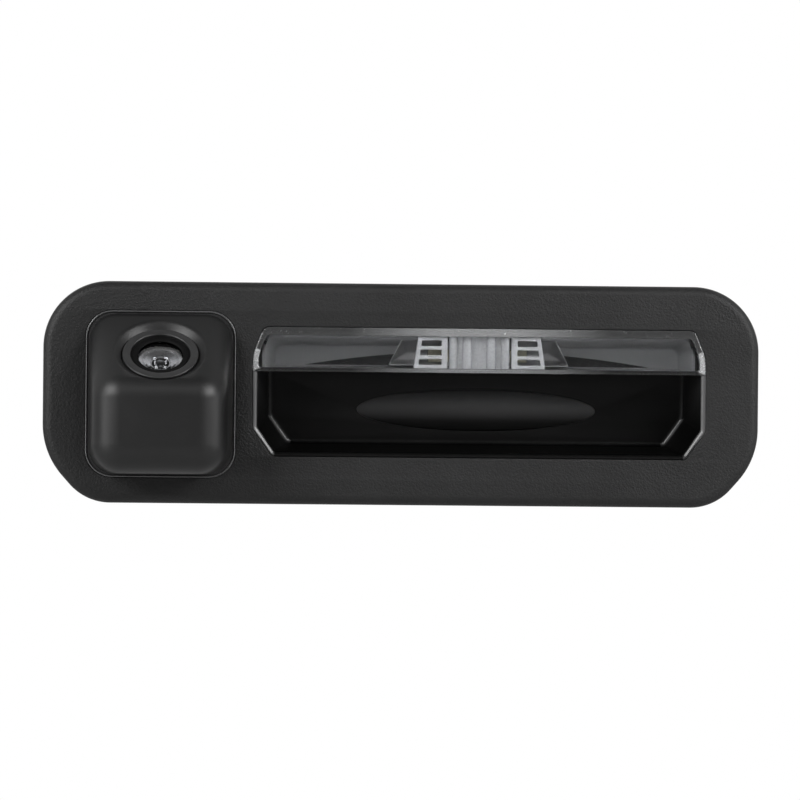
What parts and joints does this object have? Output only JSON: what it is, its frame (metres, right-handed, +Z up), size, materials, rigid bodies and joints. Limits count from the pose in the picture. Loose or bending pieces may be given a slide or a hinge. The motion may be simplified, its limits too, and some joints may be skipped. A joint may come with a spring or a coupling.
{
  "type": "tailgate handle backup camera",
  "caption": "Tailgate release handle plate with a finger pocket, a number-plate lamp strip, an oval release button and a backup camera in a sloped hood.",
  "frame": {"origin": "centre of the panel cut-out, in the plane of the panel, where the gasket's rear face seats", "axes": "+X along the handle, to the right for a person who faces it, +Y into the panel, +Z up"},
  "size_m": [0.165, 0.0617, 0.051],
  "materials": {
    "grained_plastic": "moulded ASA with a fine spark-eroded grain",
    "hood_plastic": "moulded ABS, satin, finer grain than the bezel",
    "pocket_plastic": "moulded ABS, satin",
    "button_plastic": "soft-touch thermoplastic elastomer",
    "housing_plastic": "moulded glass-filled nylon, satin",
    "foam_rubber": "closed-cell foam rubber",
    "seal_rubber": "moulded EPDM rubber",
    "black_anodised": "turned aluminium, black anodised, satin",
    "baffle_black": "matt black, non-reflecting",
    "moulded_black": "moulded PBT, satin",
    "optical_glass": "polished and coated glass",
    "filter_glass": "coated filter glass",
    "satin_silver": "satin turned aluminium",
    "lamp_clear": "clear moulded acrylic",
    "lamp_grey": "moulded grey polycarbonate, satin",
    "lamp_silver": "vacuum-metallised reflector",
    "led_phosphor": "phosphor resin in a white case",
    "circuit_board": "green solder mask over glass-epoxy",
    "chip_black": "moulded epoxy",
    "contact_brass": "tin-plated brass",
    "screw_steel": "zinc-plated steel",
    "spring_steel": "stainless spring steel",
    "vent_membrane": "sintered breathable polymer",
    "acetal": "natural acetal",
    "plunger_red": "moulded nylon"
  },
  "bodies": {
    "housing": {"front_bezel": "grained_plastic", "panel_gasket": "foam_rubber", "rear_housing": "housing_plastic", "flange_screws": "screw_steel", "retaining_clips": "spring_steel", "clip_rivets": "screw_steel", "rear_cover": "housing_plastic", "cover_seal": "seal_rubber", "cover_screws": "screw_steel", "cable_grommet": "seal_rubber", "vent_plug": "vent_membrane", "camera_hood": "hood_plastic", "hood_seal": "seal_rubber", "barrel_seal": "seal_rubber", "camera_barrel": "black_anodised", "front_ring": "black_anodised", "lens_baffle": "baffle_black", "front_element": "optical_glass", "inner_cone": "satin_silver", "second_element": "optical_glass", "aperture_stop": "baffle_black", "rear_element": "optical_glass", "lens_cell": "baffle_black", "lens_holder": "moulded_black", "ir_filter": "filter_glass", "image_sensor": "chip_black", "sensor_board": "circuit_board", "board_spacers": "contact_brass", "power_board": "circuit_board", "power_board_parts": "chip_black", "cap_seal": "seal_rubber", "camera_cap": "black_anodised", "camera_gland": "seal_rubber", "camera_bracket": "housing_plastic", "bracket_screws": "screw_steel", "finger_pocket": "pocket_plastic", "pocket_seal": "foam_rubber", "lamp_lens": "lamp_clear", "lamp_tray": "lamp_grey", "lamp_reflector": "lamp_silver", "lamp_board": "circuit_board", "lamp_leds": "led_phosphor", "lamp_resistors": "chip_black", "lamp_terminals": "contact_brass", "lamp_screws": "screw_steel", "return_springs": "spring_steel", "button_guide": "housing_plastic", "guide_screws": "screw_steel", "switch_case": "moulded_black", "switch_board": "circuit_board", "board_screws": "screw_steel", "board_parts": "chip_black", "connector_header": "moulded_black", "connector_pins": "contact_brass"},
    "button": {"release_button": "button_plastic", "button_carrier": "acetal"},
    "plunger": {"switch_plunger": "plunger_red"}
  },
  "joints": [
    {"name": "button_press", "type": "slide", "parent": "housing", "child": "button", "axis": [0, 1, 0], "range_m": [0, 0.0012], "stiffness_N_per_m": 3000, "springref_m": -0.001, "deforming": ["return_springs"]},
    {"name": "plunger_press", "type": "slide", "parent": "housing", "child": "plunger", "axis": [0, 1, 0], "range_m": [0, 0.0012]}
  ],
  "couplings": [
    {"joint": "plunger_press", "follows": "button_press", "ratio": 1}
  ]
}
